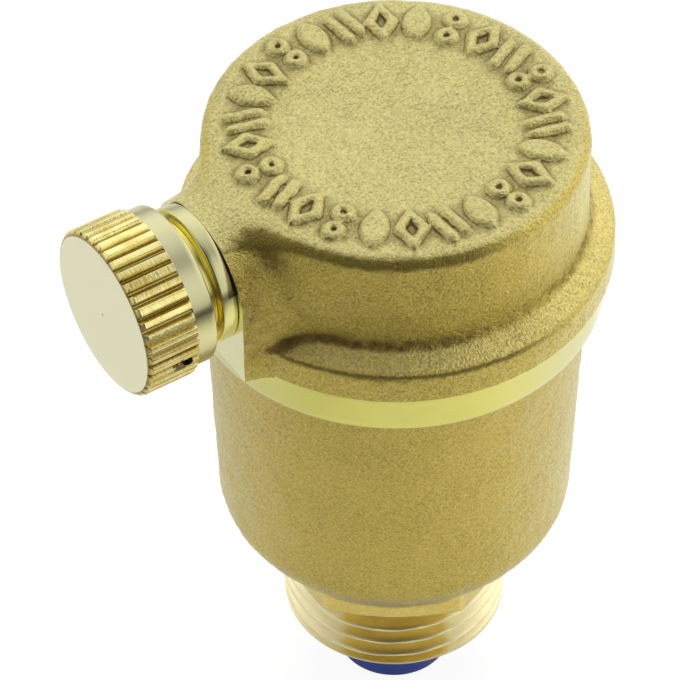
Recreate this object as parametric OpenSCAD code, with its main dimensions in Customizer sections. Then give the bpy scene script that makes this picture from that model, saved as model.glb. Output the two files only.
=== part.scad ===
// Automatic air vent with side outlet, G1/2 male inlet.
// Origin: centre of the inlet thread's end face. +Z runs up the float axis,
// the vent outlet points along -X. Millimetres.

/* [Inlet thread] */
// Major diameter of the inlet pipe thread (G1/2 = 20.955)
thread_d = 20.955; // [20.9:0.005:21]
// Thread pitch (G1/2 = 1.814)
thread_pitch = 1.814; // [1.814]
// Inlet bore diameter
inlet_bore_d = 16; // [15:0.5:16]
// Height of the thread's end below the wrench hexagon
thread_len = 7.65; // [7.5:0.05:7.8]

/* [Body] */
// Width across the flats of the wrench hexagon
hex_af = 22; // [21.6:0.1:22.4]
// Body radius just under the collar
body_r_top = 17.2; // [17.1:0.05:17.4]
// Body radius just above its rounded bottom
body_r_low = 16.4; // [16.2:0.05:16.6]
// Inside radius of the float chamber
chamber_r = 14.3; // [14.2:0.05:14.5]
// Outside radius of the machined collar
collar_r = 18.7; // [18.5:0.05:18.9]
// Height of the collar's top face
collar_top = 46; // [45.9:0.05:46]
// Height of the collar
collar_h = 4; // [3.8:0.1:4.2]

/* [Cover] */
// Radius of the cover's dome wall
dome_r = 17; // [16.8:0.05:17.2]
// Height of the cover's top face
cover_top = 60.6; // [60.4:0.05:60.8]
// Radius of the cover's rim
rim_r = 19.5; // [19.3:0.05:19.7]
// Radius of the cover's threaded spigot
spigot_r = 15.9; // [15.8:0.05:15.9]
// Thickness of the cover's roof
roof_t = 3; // [2.8:0.1:3.1]
// Number of raised cast marks on the cover
mark_count = 26; // [12:2:30]

/* [Vent outlet] */
// Height of the vent axis
vent_z = 53.9; // [53.8:0.05:54]
// Distance of the boss's machined face from the float axis
boss_x = 20.15; // [20.05:0.05:20.3]
// Half width of the boss at its face
boss_r = 6.9; // [6.8:0.05:7]
// Radius of the nozzle's collar
nozzle_collar_r = 6.3; // [6.2:0.05:6.4]
// Distance of the cap's face from the float axis
cap_face_x = 29.85; // [29.7:0.05:30]
// Outside radius of the cap's knurl
cap_r = 7.7; // [7.6:0.05:7.9]
// Radius of the cap's plain band
cap_band_r = 7.25; // [7.1:0.05:7.3]
// Number of knurl ribs
knurl_count = 40; // [30:2:48]
// Thread pitch between cap and nozzle
cap_pitch = 1; // [1]

/* [Float and lever] */
// Float radius
float_r = 13.3; // [13:0.1:13.4]
// Radius of the float's guide stem
stem_r = 5.6; // [5.4:0.1:5.8]
// How far the stem stands out below the thread
stem_out = 7.9; // [7.5:0.1:8.3]
// Opening swing of the lever in degrees
lever_swing = 15.3; // [15.3]

/* [Hidden] */
$fn = 96;

brass_cast = [0.72, 0.64, 0.33];
brass_bright = [0.86, 0.78, 0.42];
steel = [0.75, 0.76, 0.78];
rubber = [0.10, 0.10, 0.11];
blue = [0.10, 0.17, 0.55];

thread_r = thread_d / 2;
root_r = thread_r - 1.162;
rim_z = collar_top + 0.05;
roof_z = cover_top - roof_t;
// crests of the inlet thread, counted up from the end
crests = [for (i = [0:3]) 1.45 + i * thread_pitch];

// valve geometry along the vent axis, as distances from the float axis
seat_x = 12.4;       // tip of the seat's lip
pad_x = 12.38;       // face of the pad with the valve closed
pivot_x = 10.28;
pivot_z = 49.4;
arm_x = 9.78;        // back of the lever's upright
nozzle_end = 27.5;
cap_back_x = 22.8;
collar_end_x = 21.6;
knurl_back_x = 25;

function arc(cx, cy, r, a0, a1, n) =
    [for (i = [0:n]) let (a = a0 + (a1 - a0) * i / n) [cx + r * cos(a), cy + r * sin(a)]];

// Local +Z becomes the vent direction (-X), local +X becomes up.
module along_vent() {
    translate([0, 0, vent_z]) rotate([0, -90, 0]) children();
}

// Ring with a round section about local Z.
module o_ring(r, section) {
    rotate_extrude() translate([r, 0]) circle(r = section, $fn = 32);
}

// Rotates a lever part from the closed position to the open rest position.
module at_rest() {
    translate([-pivot_x, 0, pivot_z]) rotate([0, lever_swing, 0])
        translate([pivot_x, 0, -pivot_z]) children();
}

// ---------------------------------------------------------------- body
function body_corner() = let (rc = 4.3, z1 = 17.35)
    concat(arc(body_r_low - rc, z1, rc, 0, -33, 6),
           [[14.95, 13.95], [13.65, 12.3], [12.3, 10.75], [11.2, 9.6]]);

module inlet_thread() {
    cylinder(h = thread_len + 0.5, r = root_r);
    cylinder(h = 0.35, r = thread_r);
    translate([0, 0, 0.35]) cylinder(h = 0.25, r1 = thread_r, r2 = root_r);
    for (z = crests) {
        translate([0, 0, z - 0.75]) cylinder(h = 0.55, r1 = root_r, r2 = thread_r);
        translate([0, 0, z - 0.2]) cylinder(h = 0.4, r = thread_r);
        translate([0, 0, z + 0.2]) cylinder(h = 0.55, r1 = thread_r, r2 = root_r);
    }
}

module wrench_hex() {
    intersection() {
        translate([0, 0, thread_len]) rotate([0, 0, 26])
            cylinder(h = 5.5, r = hex_af / 2 / cos(30), $fn = 6);
        union() {
            translate([0, 0, thread_len]) cylinder(h = 1.2, r1 = hex_af / 2 - 0.05, r2 = hex_af / 2 + 2);
            translate([0, 0, thread_len + 1.2]) cylinder(h = 5, r = hex_af / 2 + 2);
        }
    }
}

module body() color(brass_cast) difference() {
    union() {
        inlet_thread();
        wrench_hex();
        // cast cup with its machined collar
        rotate_extrude() polygon(concat(
            [[0, 9.6]], [for (i = [len(body_corner()) - 1:-1:0]) body_corner()[i]],
            [[body_r_top, collar_top - collar_h],
             [collar_r - 0.15, collar_top - collar_h], [collar_r, collar_top - collar_h + 0.15],
             [collar_r, collar_top - 0.25], [collar_r - 0.25, collar_top],
             [0, collar_top]]));
    }
    // water inlet
    translate([0, 0, -1]) cylinder(h = 20, d = inlet_bore_d);
    translate([0, 0, -0.01]) cylinder(h = 0.6, r1 = inlet_bore_d / 2 + 0.6, r2 = inlet_bore_d / 2);
    // float chamber
    rotate_extrude() polygon(concat([[0, 11.4], [9.2, 11.4], [13.3, 15.9]],
        [[chamber_r, 18], [chamber_r, 39.6], [0, 39.6]]));
    // thread bore for the cover
    translate([0, 0, 39.5]) cylinder(h = 10, r = spigot_r + 0.05);
    // groove for the cover's O-ring
    translate([0, 0, collar_top - 1.1]) difference() {
        cylinder(h = 2, r = 17.9);
        translate([0, 0, -1]) cylinder(h = 4, r = 16.7);
    }
}

// ---------------------------------------------------------------- cover
// One raised mark, long side along the radius: two slanted bars, open lozenge, pair of dimpled pips or leaf.
module mark(kind) {
    if (kind == 0) rotate([0, 0, 20]) for (q = [-0.72, 0.72]) translate([0, q]) {
        square([2.9, 0.9], center = true);
        for (s = [-1, 1]) translate([1.45 * s, 0]) circle(r = 0.45, $fn = 24);
    }
    if (kind == 1) difference() {
        polygon([[-2.35, 0], [0, -1.55], [2.35, 0], [0, 1.55]]);
        polygon([[-1.15, 0], [0, -0.62], [1.15, 0], [0, 0.62]]);
    }
    if (kind == 2) for (s = [-1, 1]) translate([1.12 * s, 0]) difference() {
        circle(r = 0.98, $fn = 32);
        circle(r = 0.3, $fn = 24);
    }
    if (kind == 3) intersection() {
        translate([0, 1.35]) circle(r = 2.5, $fn = 48);
        translate([0, -1.35]) circle(r = 2.5, $fn = 48);
    }
}

module mark_ring() {
    kinds = [0, 1, 2, 3, 1, 0, 3, 2, 1, 3, 0, 1, 2];
    for (i = [0:mark_count - 1])
        rotate([0, 0, (i + 0.5) * 360 / mark_count]) translate([13.05, 0, cover_top - 0.5])
            linear_extrude(1.1) mark(kinds[i % 13]);
}

module boss() {
    flare = 0.33;
    back = 12;
    wide = boss_r + (boss_x - back) * flare;
    // straight lower half, down to the rim's underside
    translate([0, 0, rim_z]) linear_extrude(vent_z - rim_z)
        polygon([[-boss_x, -boss_r], [-boss_x, boss_r], [-back, wide], [-back, -wide]]);
    // round top
    intersection() {
        along_vent() translate([0, 0, back]) cylinder(h = boss_x - back, r1 = wide, r2 = boss_r);
        translate([-40, -20, vent_z - 0.01]) cube([40, 40, cover_top - 0.4 - vent_z]);
    }
}

module cover() color(brass_cast) {
    difference() {
        union() {
            // top, dome wall, shoulder and rim
            rotate_extrude() polygon(concat(
                [[0, rim_z], [rim_r - 0.25, rim_z], [rim_r, rim_z + 0.25]],
                arc(rim_r - 1, 48.7, 1, 0, 60, 4),
                [[dome_r + 0.3, 50.5], [dome_r + 0.03, 50.95]],
                arc(dome_r - 1.2, cover_top - 1.2, 1.2, 0, 90, 5),
                [[0, cover_top]]));
            boss();
            mark_ring();
            // threaded spigot
            translate([0, 0, 40.1]) cylinder(h = 8, r = spigot_r);
        }
        // inside
        translate([0, 0, 39]) cylinder(h = roof_z - 39, r = chamber_r + 0.1);
        // hole for the nozzle
        along_vent() translate([0, 0, 12]) cylinder(h = 10, r = 4.91);
        // recess for the nozzle's O-ring
        along_vent() translate([0, 0, boss_x - 0.85]) cylinder(h = 2, r = 5.9);
        // screw holes for the bracket
        for (s = [-1, 1]) translate([-3.4, 2.3 * s, roof_z - 1]) cylinder(h = 3.3, r = 1.02);
    }
}

module cover_o_ring() color(rubber) translate([0, 0, collar_top - 0.53]) o_ring(17.3, 0.53);

// ---------------------------------------------------------------- vent outlet
module vent_nozzle() color(brass_bright) along_vent() difference() {
    union() {
        translate([0, 0, 12.9]) cylinder(h = 1.5, r = 3.2);
        translate([0, 0, 14.45]) cylinder(h = boss_x + 0.02 - 14.45, r = 4.86);
        translate([0, 0, 14.3]) cylinder(h = 0.2, r = 4.6);
        // collar with broken edges
        rotate_extrude() polygon([[0, boss_x + 0.02], [nozzle_collar_r - 0.2, boss_x + 0.02],
            [nozzle_collar_r, boss_x + 0.22], [nozzle_collar_r, collar_end_x - 0.2],
            [nozzle_collar_r - 0.2, collar_end_x], [0, collar_end_x]]);
        // neck and cap thread
        translate([0, 0, collar_end_x - 0.1]) cylinder(h = 22.7 - collar_end_x + 0.1, r = 5.2);
        cylinder(h = nozzle_end, r = 4.3);
        for (i = [0:4]) translate([0, 0, 22.85 + i * cap_pitch - 0.15]) {
            cylinder(h = 0.35, r = 4.85);
            translate([0, 0, 0.35]) cylinder(h = 0.3, r1 = 4.85, r2 = 4.3);
        }
    }
    translate([0, 0, -1]) cylinder(h = 13.9, r = 8);
    translate([0, 0, 10]) cylinder(h = 6.2, r = 2.21);
    translate([0, 0, 10]) cylinder(h = 30, r = 1.8);
}

module nozzle_o_ring() color(rubber) along_vent()
    translate([0, 0, boss_x - 0.42]) o_ring(5.4, 0.42);

module valve_seat() color(steel) along_vent() difference() {
    union() {
        translate([0, 0, 12.88]) cylinder(h = 3.2, r = 2.2);
        translate([0, 0, 12.6]) cylinder(h = 0.29, r = 2.6);
        translate([0, 0, seat_x]) cylinder(h = 0.3, r1 = 1.15, r2 = 1.5);
    }
    cylinder(h = 30, r = 0.7);
}

// Fluted outline of the knurl.
function knurl_pts(r_out, r_in, n) = [for (i = [0:n - 1]) for (k = [0:3])
    let (a = (i + [0, 0.2, 0.5, 0.7][k]) * 360 / n, r = k < 2 ? r_in : r_out)
    [r * cos(a), r * sin(a)]];

module vent_cap() color(brass_bright) along_vent() difference() {
    union() {
        intersection() {
            translate([0, 0, knurl_back_x]) linear_extrude(cap_face_x - knurl_back_x)
                polygon(knurl_pts(cap_r, cap_r - 0.42, knurl_count));
            rotate_extrude() polygon([[0, 20], [cap_r - 0.3, 20], [cap_r - 0.3, knurl_back_x],
                [cap_r, knurl_back_x + 0.3], [cap_r, cap_face_x - 0.4],
                [cap_r - 0.4, cap_face_x], [0, cap_face_x]]);
        }
        // plain band
        rotate_extrude() polygon([[0, cap_back_x], [cap_band_r - 0.2, cap_back_x],
            [cap_band_r, cap_back_x + 0.2], [cap_band_r, knurl_back_x + 0.5],
            [0, knurl_back_x + 0.5]]);
    }
    // thread bore and mouth
    translate([0, 0, 20]) cylinder(h = 28.3 - 20, r = 4.9);
    translate([0, 0, 20]) cylinder(h = cap_back_x + 0.6 - 20, r = 5.6);
    // bleed hole through one side
    translate([0, 0, knurl_back_x + 1.1]) rotate([0, 0, 260]) rotate([0, 90, 0])
        cylinder(h = 12, r = 0.5, $fn = 32);
}

module cap_seal() color(rubber) along_vent() translate([0, 0, nozzle_end + 0.02]) difference() {
    cylinder(h = 28.28 - nozzle_end - 0.02, r = 4.8);
    translate([0, 0, -0.01]) cylinder(h = 0.3, r = 1.6);
}

// ---------------------------------------------------------------- lever bracket
module lever_bracket() color(steel) difference() {
    union() {
        // plate against the roof
        translate([-12, -4, roof_z - 0.82]) cube([11, 8, 0.8]);
        // two ears
        for (s = [-1, 1]) translate([0, s * 3.6 - 0.4, 0]) {
            translate([-12, 0, pivot_z]) cube([3.5, 0.8, roof_z - 0.1 - pivot_z]);
            translate([-pivot_x, 0, pivot_z]) rotate([-90, 0, 0]) cylinder(h = 0.8, r = 1.72);
        }
    }
    translate([-pivot_x, -6, pivot_z]) rotate([-90, 0, 0]) cylinder(h = 12, r = 0.82);
    for (s = [-1, 1]) translate([-3.4, 2.3 * s, roof_z - 3]) cylinder(h = 6, r = 1.15);
}

module bracket_screws() color(steel) for (s = [-1, 1]) translate([-3.4, 2.3 * s, 0]) difference() {
    union() {
        translate([0, 0, roof_z - 1.95]) cylinder(h = 4.1, r = 1);
        translate([0, 0, roof_z - 2.15]) cylinder(h = 0.9, r1 = 1.5, r2 = 1.85);
    }
    translate([-2, -0.2, roof_z - 2.3]) cube([4, 0.4, 0.55]);
}

module bracket_washers() color(steel) for (s = [-1, 1])
    translate([-3.4, 2.3 * s, roof_z - 1.23]) difference() {
        cylinder(h = 0.39, r = 2);
        translate([0, 0, -1]) cylinder(h = 3, r = 1.1);
    }

module lever_pin() color(steel) translate([-pivot_x, -4.9, pivot_z]) rotate([-90, 0, 0])
    cylinder(h = 9.8, r = 0.8);

module pin_clips() color(steel) for (s = [-1, 1]) translate([-pivot_x, s * 4.3 - 0.2, pivot_z])
    rotate([-90, 0, 0]) difference() {
        cylinder(h = 0.4, r = 1.6);
        translate([0, 0, -1]) cylinder(h = 3, r = 0.81);
    }

// ---------------------------------------------------------------- lever
module lever() color(steel) at_rest() difference() {
    union() {
        // hub on the pin
        translate([-pivot_x, -3.1, pivot_z]) rotate([-90, 0, 0]) cylinder(h = 6.2, r = 1.45);
        // upright that carries the pad
        translate([-arm_x - 1, -2, pivot_z]) cube([1, 4, vent_z + 2.1 - pivot_z]);
        // arm towards the float, with a turned-up tip
        translate([-pivot_x, 0, pivot_z]) rotate([0, -lever_swing / 2, 0]) {
            translate([0, -1.2, -0.5]) cube([pivot_x + 1.8, 2.4, 1]);
            translate([pivot_x + 1.1, -1.2, -0.5]) cube([0.8, 2.4, 1.7]);
        }
    }
    translate([-pivot_x, -6, pivot_z]) rotate([-90, 0, 0]) cylinder(h = 12, r = 0.84);
    translate([-20, 0, vent_z]) rotate([0, 90, 0]) cylinder(h = 20, r = 0.62);
}

module seal_holder() color(brass_bright) at_rest() translate([-pad_x, 0, vent_z]) rotate([0, 90, 0]) difference() {
    translate([0, 0, 0.4]) cylinder(h = 1.18, r = 2.5);
    translate([0, 0, 0]) cylinder(h = 1.12, r = 2.12);
    cylinder(h = 5, r = 0.62);
}

module holder_rivet() color(steel) at_rest() translate([-pad_x, 0, vent_z]) rotate([0, 90, 0]) {
    translate([0, 0, 1.13]) cylinder(h = 1.75, r = 0.6);
    translate([0, 0, 2.62]) cylinder(h = 0.4, r1 = 1.1, r2 = 0.8);
}

module valve_pad() color(rubber) at_rest() translate([-pad_x, 0, vent_z]) rotate([0, 90, 0])
    cylinder(h = 1.1, r = 2.1);

// ---------------------------------------------------------------- float
module float_shell() color(blue) rotate_extrude() difference() {
    polygon(concat([[0, -stem_out], [stem_r - 0.8, -stem_out], [stem_r, -stem_out + 0.8],
        [stem_r, 13.2], [8.6, 13.2], [12.2, 17.2], [float_r, 20], [float_r, 42.7], [0, 42.7]]));
    polygon([[0, -stem_out + 1.2], [stem_r - 1.2, -stem_out + 1.2], [stem_r - 1.2, 14.2],
        [8.2, 14.2], [11.4, 17.7], [float_r - 0.9, 20.4], [float_r - 0.9, 43], [0, 43]]);
}

module float_lid() color(blue) difference() {
    union() {
        translate([0, 0, 42.72]) cylinder(h = 1.28, r = float_r);
        translate([0, 0, 41.2]) difference() {
            cylinder(h = 2, r = float_r - 0.92);
            translate([0, 0, -1]) cylinder(h = 2.4, r = float_r - 1.8);
        }
        translate([0, 0, 41.2]) cylinder(h = 2, r = 3.2);
    }
    translate([0, 0, 42]) cylinder(h = 5, r = 2.02);
}

module float_hook() color(steel) difference() {
    union() {
        translate([0, 0, 42.02]) cylinder(h = 2.2, r = 2);
        translate([-0.5, -2.4, 44.02]) cube([1, 4.8, 6]);
    }
    // window for the lever's arm
    translate([-2, -1.6, 47.22]) cube([4, 3.2, 1.6]);
}

// ----------------------------------------------------------------
body();
cover();
cover_o_ring();
vent_nozzle();
nozzle_o_ring();
valve_seat();
vent_cap();
cap_seal();
lever_bracket();
bracket_screws();
bracket_washers();
lever_pin();
pin_clips();
lever();
seal_holder();
holder_rivet();
valve_pad();
float_shell();
float_lid();
float_hook();
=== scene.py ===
import math

import bmesh
import bpy
import numpy as np
from mathutils import Matrix, Vector


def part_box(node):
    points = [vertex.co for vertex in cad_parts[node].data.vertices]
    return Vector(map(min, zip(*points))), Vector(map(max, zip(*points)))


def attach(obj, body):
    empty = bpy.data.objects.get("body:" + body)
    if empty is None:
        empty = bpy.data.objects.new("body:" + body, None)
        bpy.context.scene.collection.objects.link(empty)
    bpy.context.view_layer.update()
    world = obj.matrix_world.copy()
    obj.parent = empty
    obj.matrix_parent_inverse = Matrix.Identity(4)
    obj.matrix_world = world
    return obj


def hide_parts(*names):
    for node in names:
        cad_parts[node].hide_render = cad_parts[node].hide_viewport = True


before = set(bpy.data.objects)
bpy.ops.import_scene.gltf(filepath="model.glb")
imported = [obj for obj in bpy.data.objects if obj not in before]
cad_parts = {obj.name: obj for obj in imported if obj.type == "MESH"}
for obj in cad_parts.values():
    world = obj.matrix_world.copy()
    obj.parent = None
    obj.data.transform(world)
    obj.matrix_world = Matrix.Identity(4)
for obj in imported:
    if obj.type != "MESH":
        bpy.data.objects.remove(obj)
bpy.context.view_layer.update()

MM = 0.001
PI = math.pi

# ------------------------------------------------------------------ places taken from the frame, in mm
def box_mm(node):
    lo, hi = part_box(node)
    return np.array(lo) / MM, np.array(hi) / MM


body_lo, body_hi = box_mm("body")
cov_lo, cov_hi = box_mm("cover")
cap_lo, cap_hi = box_mm("vent_cap")
noz_lo, noz_hi = box_mm("vent_nozzle")
flo_lo, flo_hi = box_mm("float_shell")

VENT_Z = float((cap_lo[2] + cap_hi[2]) / 2)          # height of the vent axis
COLLAR_R = float(body_hi[0])
COLLAR_TOP = float(body_hi[2])
RIM_R = float(cov_hi[0])
BOSS_X = float(-cov_lo[0])
FACE_X = float(-cap_lo[0])
CAP_BACK = float(-cap_hi[0])
CAP_R = float((cap_hi[2] - cap_lo[2]) / 2)
NOZ_END = float(-noz_lo[0])
STEM_Z = float(flo_lo[2])
FLOAT_R = float(flo_hi[0])
RIM_Z = COLLAR_TOP + 0.05
MARK_TOP = float(cov_hi[2])
COLLAR_END = 21.6                                     # front of the nozzle collar
TOP_Z = 60.6                                          # the cover's flat top
DOME_R = 17.0
THREAD_R = 10.4775
PITCH = 1.814
THREAD_LEN = 7.65
HEX_FLAT = 11.0
HEX_TURN = -4.0


# ------------------------------------------------------------------ mesh helpers
def make_mesh(name, verts, quads=None, tris=None):
    """verts in mm, faces as index arrays; returns a linked object."""
    me = bpy.data.meshes.new(name)
    verts = np.asarray(verts, np.float64) * MM
    quads = np.zeros((0, 4), int) if quads is None else np.asarray(quads, int)
    tris = np.zeros((0, 3), int) if tris is None else np.asarray(tris, int)
    me.vertices.add(len(verts))
    me.vertices.foreach_set("co", verts.astype(np.float32).ravel())
    loops = np.concatenate([quads.ravel(), tris.ravel()]).astype(np.int32)
    me.loops.add(len(loops))
    me.loops.foreach_set("vertex_index", loops)
    me.polygons.add(len(quads) + len(tris))
    starts = np.concatenate([np.arange(len(quads)) * 4, len(quads) * 4 + np.arange(len(tris)) * 3])
    me.polygons.foreach_set("loop_start", starts.astype(np.int32))
    me.update(calc_edges=True)
    me.validate()
    ob = bpy.data.objects.new(name, me)
    bpy.context.scene.collection.objects.link(ob)
    return ob


def fix_normals(ob):
    bm = bmesh.new()
    bm.from_mesh(ob.data)
    bmesh.ops.recalc_face_normals(bm, faces=bm.faces)
    bm.to_mesh(ob.data)
    bm.free()
    return ob


def shade(ob, angle=32):
    me = ob.data
    me.polygons.foreach_set("use_smooth", np.ones(len(me.polygons), bool))
    me.set_sharp_from_angle(angle=math.radians(angle))
    me.update()
    return ob


def to_vent(p):
    """Local (up, side, along) of the vent axis to the row frame."""
    return np.stack([-p[..., 2], p[..., 1], VENT_Z + p[..., 0]], -1)


def grid_object(name, pts, poles=False, place=None):
    """pts (nu, nv, 3): closed round u. Closed along v, or ending in poles."""
    nu, nv = pts.shape[:2]
    if place is not None:
        pts = place(pts)
    if not poles:
        idx = np.arange(nu * nv).reshape(nu, nv)
        a = idx
        b = np.roll(idx, -1, 0)
        c = np.roll(b, -1, 1)
        d = np.roll(a, -1, 1)
        quads = np.stack([a, b, c, d], -1).reshape(-1, 4)
        ob = make_mesh(name, pts.reshape(-1, 3), quads)
    else:
        mid = pts[:, 1:-1]
        m = nv - 2
        idx = np.arange(nu * m).reshape(nu, m)
        a = idx[:, :-1]
        b = np.roll(idx, -1, 0)[:, :-1]
        c = np.roll(idx, -1, 0)[:, 1:]
        d = idx[:, 1:]
        quads = np.stack([a, b, c, d], -1).reshape(-1, 4)
        p0, p1 = nu * m, nu * m + 1
        r0, r1 = idx[:, 0], idx[:, -1]
        tris = np.concatenate([
            np.stack([np.full(nu, p0), np.roll(r0, -1), r0], -1),
            np.stack([np.full(nu, p1), r1, np.roll(r1, -1)], -1)])
        verts = np.concatenate([mid.reshape(-1, 3), pts[:1, 0], pts[:1, -1]])
        ob = make_mesh(name, verts, quads, tris)
    return fix_normals(ob)


def refine(poly, step, closed=False):
    """Adds points along a polyline so that no segment is longer than step."""
    out = []
    n = len(poly)
    for i in range(n if closed else n - 1):
        a, b = np.array(poly[i], float), np.array(poly[(i + 1) % n], float)
        k = max(1, int(math.ceil(np.linalg.norm(b - a) / step)))
        for j in range(k):
            out.append(a + (b - a) * j / k)
    if not closed:
        out.append(np.array(poly[-1], float))
    return np.array(out)


def rounded(poly, radius, n=4, closed=True):
    """Rounds the corners of a polygon; radius is one number or one per corner."""
    m = len(poly)
    rad = [radius] * m if np.isscalar(radius) else list(radius)
    out = []
    for i in range(m):
        p = np.array(poly[i], float)
        if (not closed and i in (0, m - 1)) or rad[i] <= 0:
            out.append(p)
            continue
        a, b = np.array(poly[i - 1], float), np.array(poly[(i + 1) % m], float)
        u, v = a - p, b - p
        lu, lv = np.linalg.norm(u), np.linalg.norm(v)
        u, v = u / lu, v / lv
        cosang = float(np.clip(u @ v, -1, 1))
        ang = math.acos(cosang)
        if ang > PI - 0.05:
            out.append(p)
            continue
        t = min(rad[i] / math.tan(ang / 2), lu * 0.45, lv * 0.45)
        r = t * math.tan(ang / 2)
        c = p + (u + v) / np.linalg.norm(u + v) * (r / math.sin(ang / 2))
        s, e = p + u * t - c, p + v * t - c
        a0, a1 = math.atan2(s[1], s[0]), math.atan2(e[1], e[0])
        d = (a1 - a0 + PI) % (2 * PI) - PI
        for k in range(n + 1):
            q = a0 + d * k / n
            out.append(c + r * np.array([math.cos(q), math.sin(q)]))
    return [tuple(q) for q in out]


def lathe(name, prof, nu=96, poles=False, place=None, mod=None):
    prof = np.asarray(prof, float)
    th = np.linspace(0, 2 * PI, nu, endpoint=False)[:, None]
    r = np.broadcast_to(prof[None, :, 0], (nu, len(prof))).copy()
    z = np.broadcast_to(prof[None, :, 1], (nu, len(prof))).copy()
    if mod is not None:
        r, z = mod(np.broadcast_to(th, r.shape), r, z)
    pts = np.stack([r * np.cos(th), r * np.sin(th), z], -1)
    return grid_object(name, pts, poles, place)


def part_lathe(name, prof, a0, a1, nu):
    """A swept ring segment with flat ends, used as a cutter."""
    prof = np.asarray(prof, float)
    nv = len(prof)
    th = np.linspace(a0, a1, nu)[:, None]
    pts = np.stack([prof[None, :, 0] * np.cos(th), prof[None, :, 0] * np.sin(th),
                    np.broadcast_to(prof[None, :, 1], (nu, nv))], -1)
    idx = np.arange(nu * nv).reshape(nu, nv)
    a, b = idx[:-1], idx[1:]
    quads = np.stack([a, b, np.roll(b, -1, 1), np.roll(a, -1, 1)], -1).reshape(-1, 4)
    tris = []
    for row, flip in ((idx[0], 1), (idx[-1], -1)):
        for k in range(1, nv - 1):
            tris.append([row[0], row[k], row[k + 1]][::flip])
    return fix_normals(make_mesh(name, pts.reshape(-1, 3), quads, np.array(tris)))


def box_object(name, lo, hi):
    x0, y0, z0 = lo
    x1, y1, z1 = hi
    v = [(x, y, z) for x in (x0, x1) for y in (y0, y1) for z in (z0, z1)]
    q = [(0, 1, 3, 2), (4, 6, 7, 5), (0, 4, 5, 1), (2, 3, 7, 6), (0, 2, 6, 4), (1, 5, 7, 3)]
    return fix_normals(make_mesh(name, v, q))


def rod(name, r, z0, z1, nu=64, place=None):
    return lathe(name, [(0, z0), (r, z0), (r, z1), (0, z1)], nu, poles=True, place=place)


def boolean(ob, cutter, op):
    """Applies one boolean and removes the cutter."""
    old = ob.data
    for solver in ("MANIFOLD", "EXACT"):
        m = ob.modifiers.new("cut", "BOOLEAN")
        m.operation = op
        m.object = cutter
        m.solver = solver
        bpy.context.view_layer.update()
        dg = bpy.context.evaluated_depsgraph_get()
        me = bpy.data.meshes.new_from_object(ob.evaluated_get(dg))
        ob.modifiers.clear()
        if len(me.polygons) and (len(me.vertices), len(me.polygons)) != (len(old.vertices), len(old.polygons)):
            break
        bpy.data.meshes.remove(me)
        print("boolean: %s did nothing on %s with %s" % (solver, ob.name, cutter.name))
        me = None
    if me is None:
        raise RuntimeError("boolean failed: " + cutter.name)
    ob.data = me
    me.name = ob.name
    bpy.data.meshes.remove(old)
    cm = cutter.data
    bpy.data.objects.remove(cutter)
    bpy.data.meshes.remove(cm)
    return ob


def waves(seed, count, length):
    """A smooth random field of unit size with features about length mm across."""
    r = np.random.RandomState(seed)
    k = r.normal(size=(count, 3))
    k /= np.linalg.norm(k, axis=1)[:, None]
    k *= 2 * PI / (length * (0.7 + 0.6 * r.rand(count, 1)))
    ph = r.rand(count) * 2 * PI
    amp = math.sqrt(2.0 / count)

    def f(p):
        p = np.asarray(p, float)
        out = np.zeros(p.shape[:-1])
        for i in range(count):
            out += np.sin(p @ k[i] + ph[i])
        return out * amp
    return f


cast_wave = [(waves(11, 24, 4.2), 0.015), (waves(12, 24, 1.7), 0.010), (waves(13, 28, 0.75), 0.012)]


def cast_noise(p):
    return sum(a * f(p) for f, a in cast_wave)


def smin(a, b, k):
    h = np.clip(0.5 + 0.5 * (b - a) / k, 0, 1)
    return b + (a - b) * h - k * h * (1 - h)


def smax(a, b, k):
    return -smin(-a, -b, k)


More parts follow.
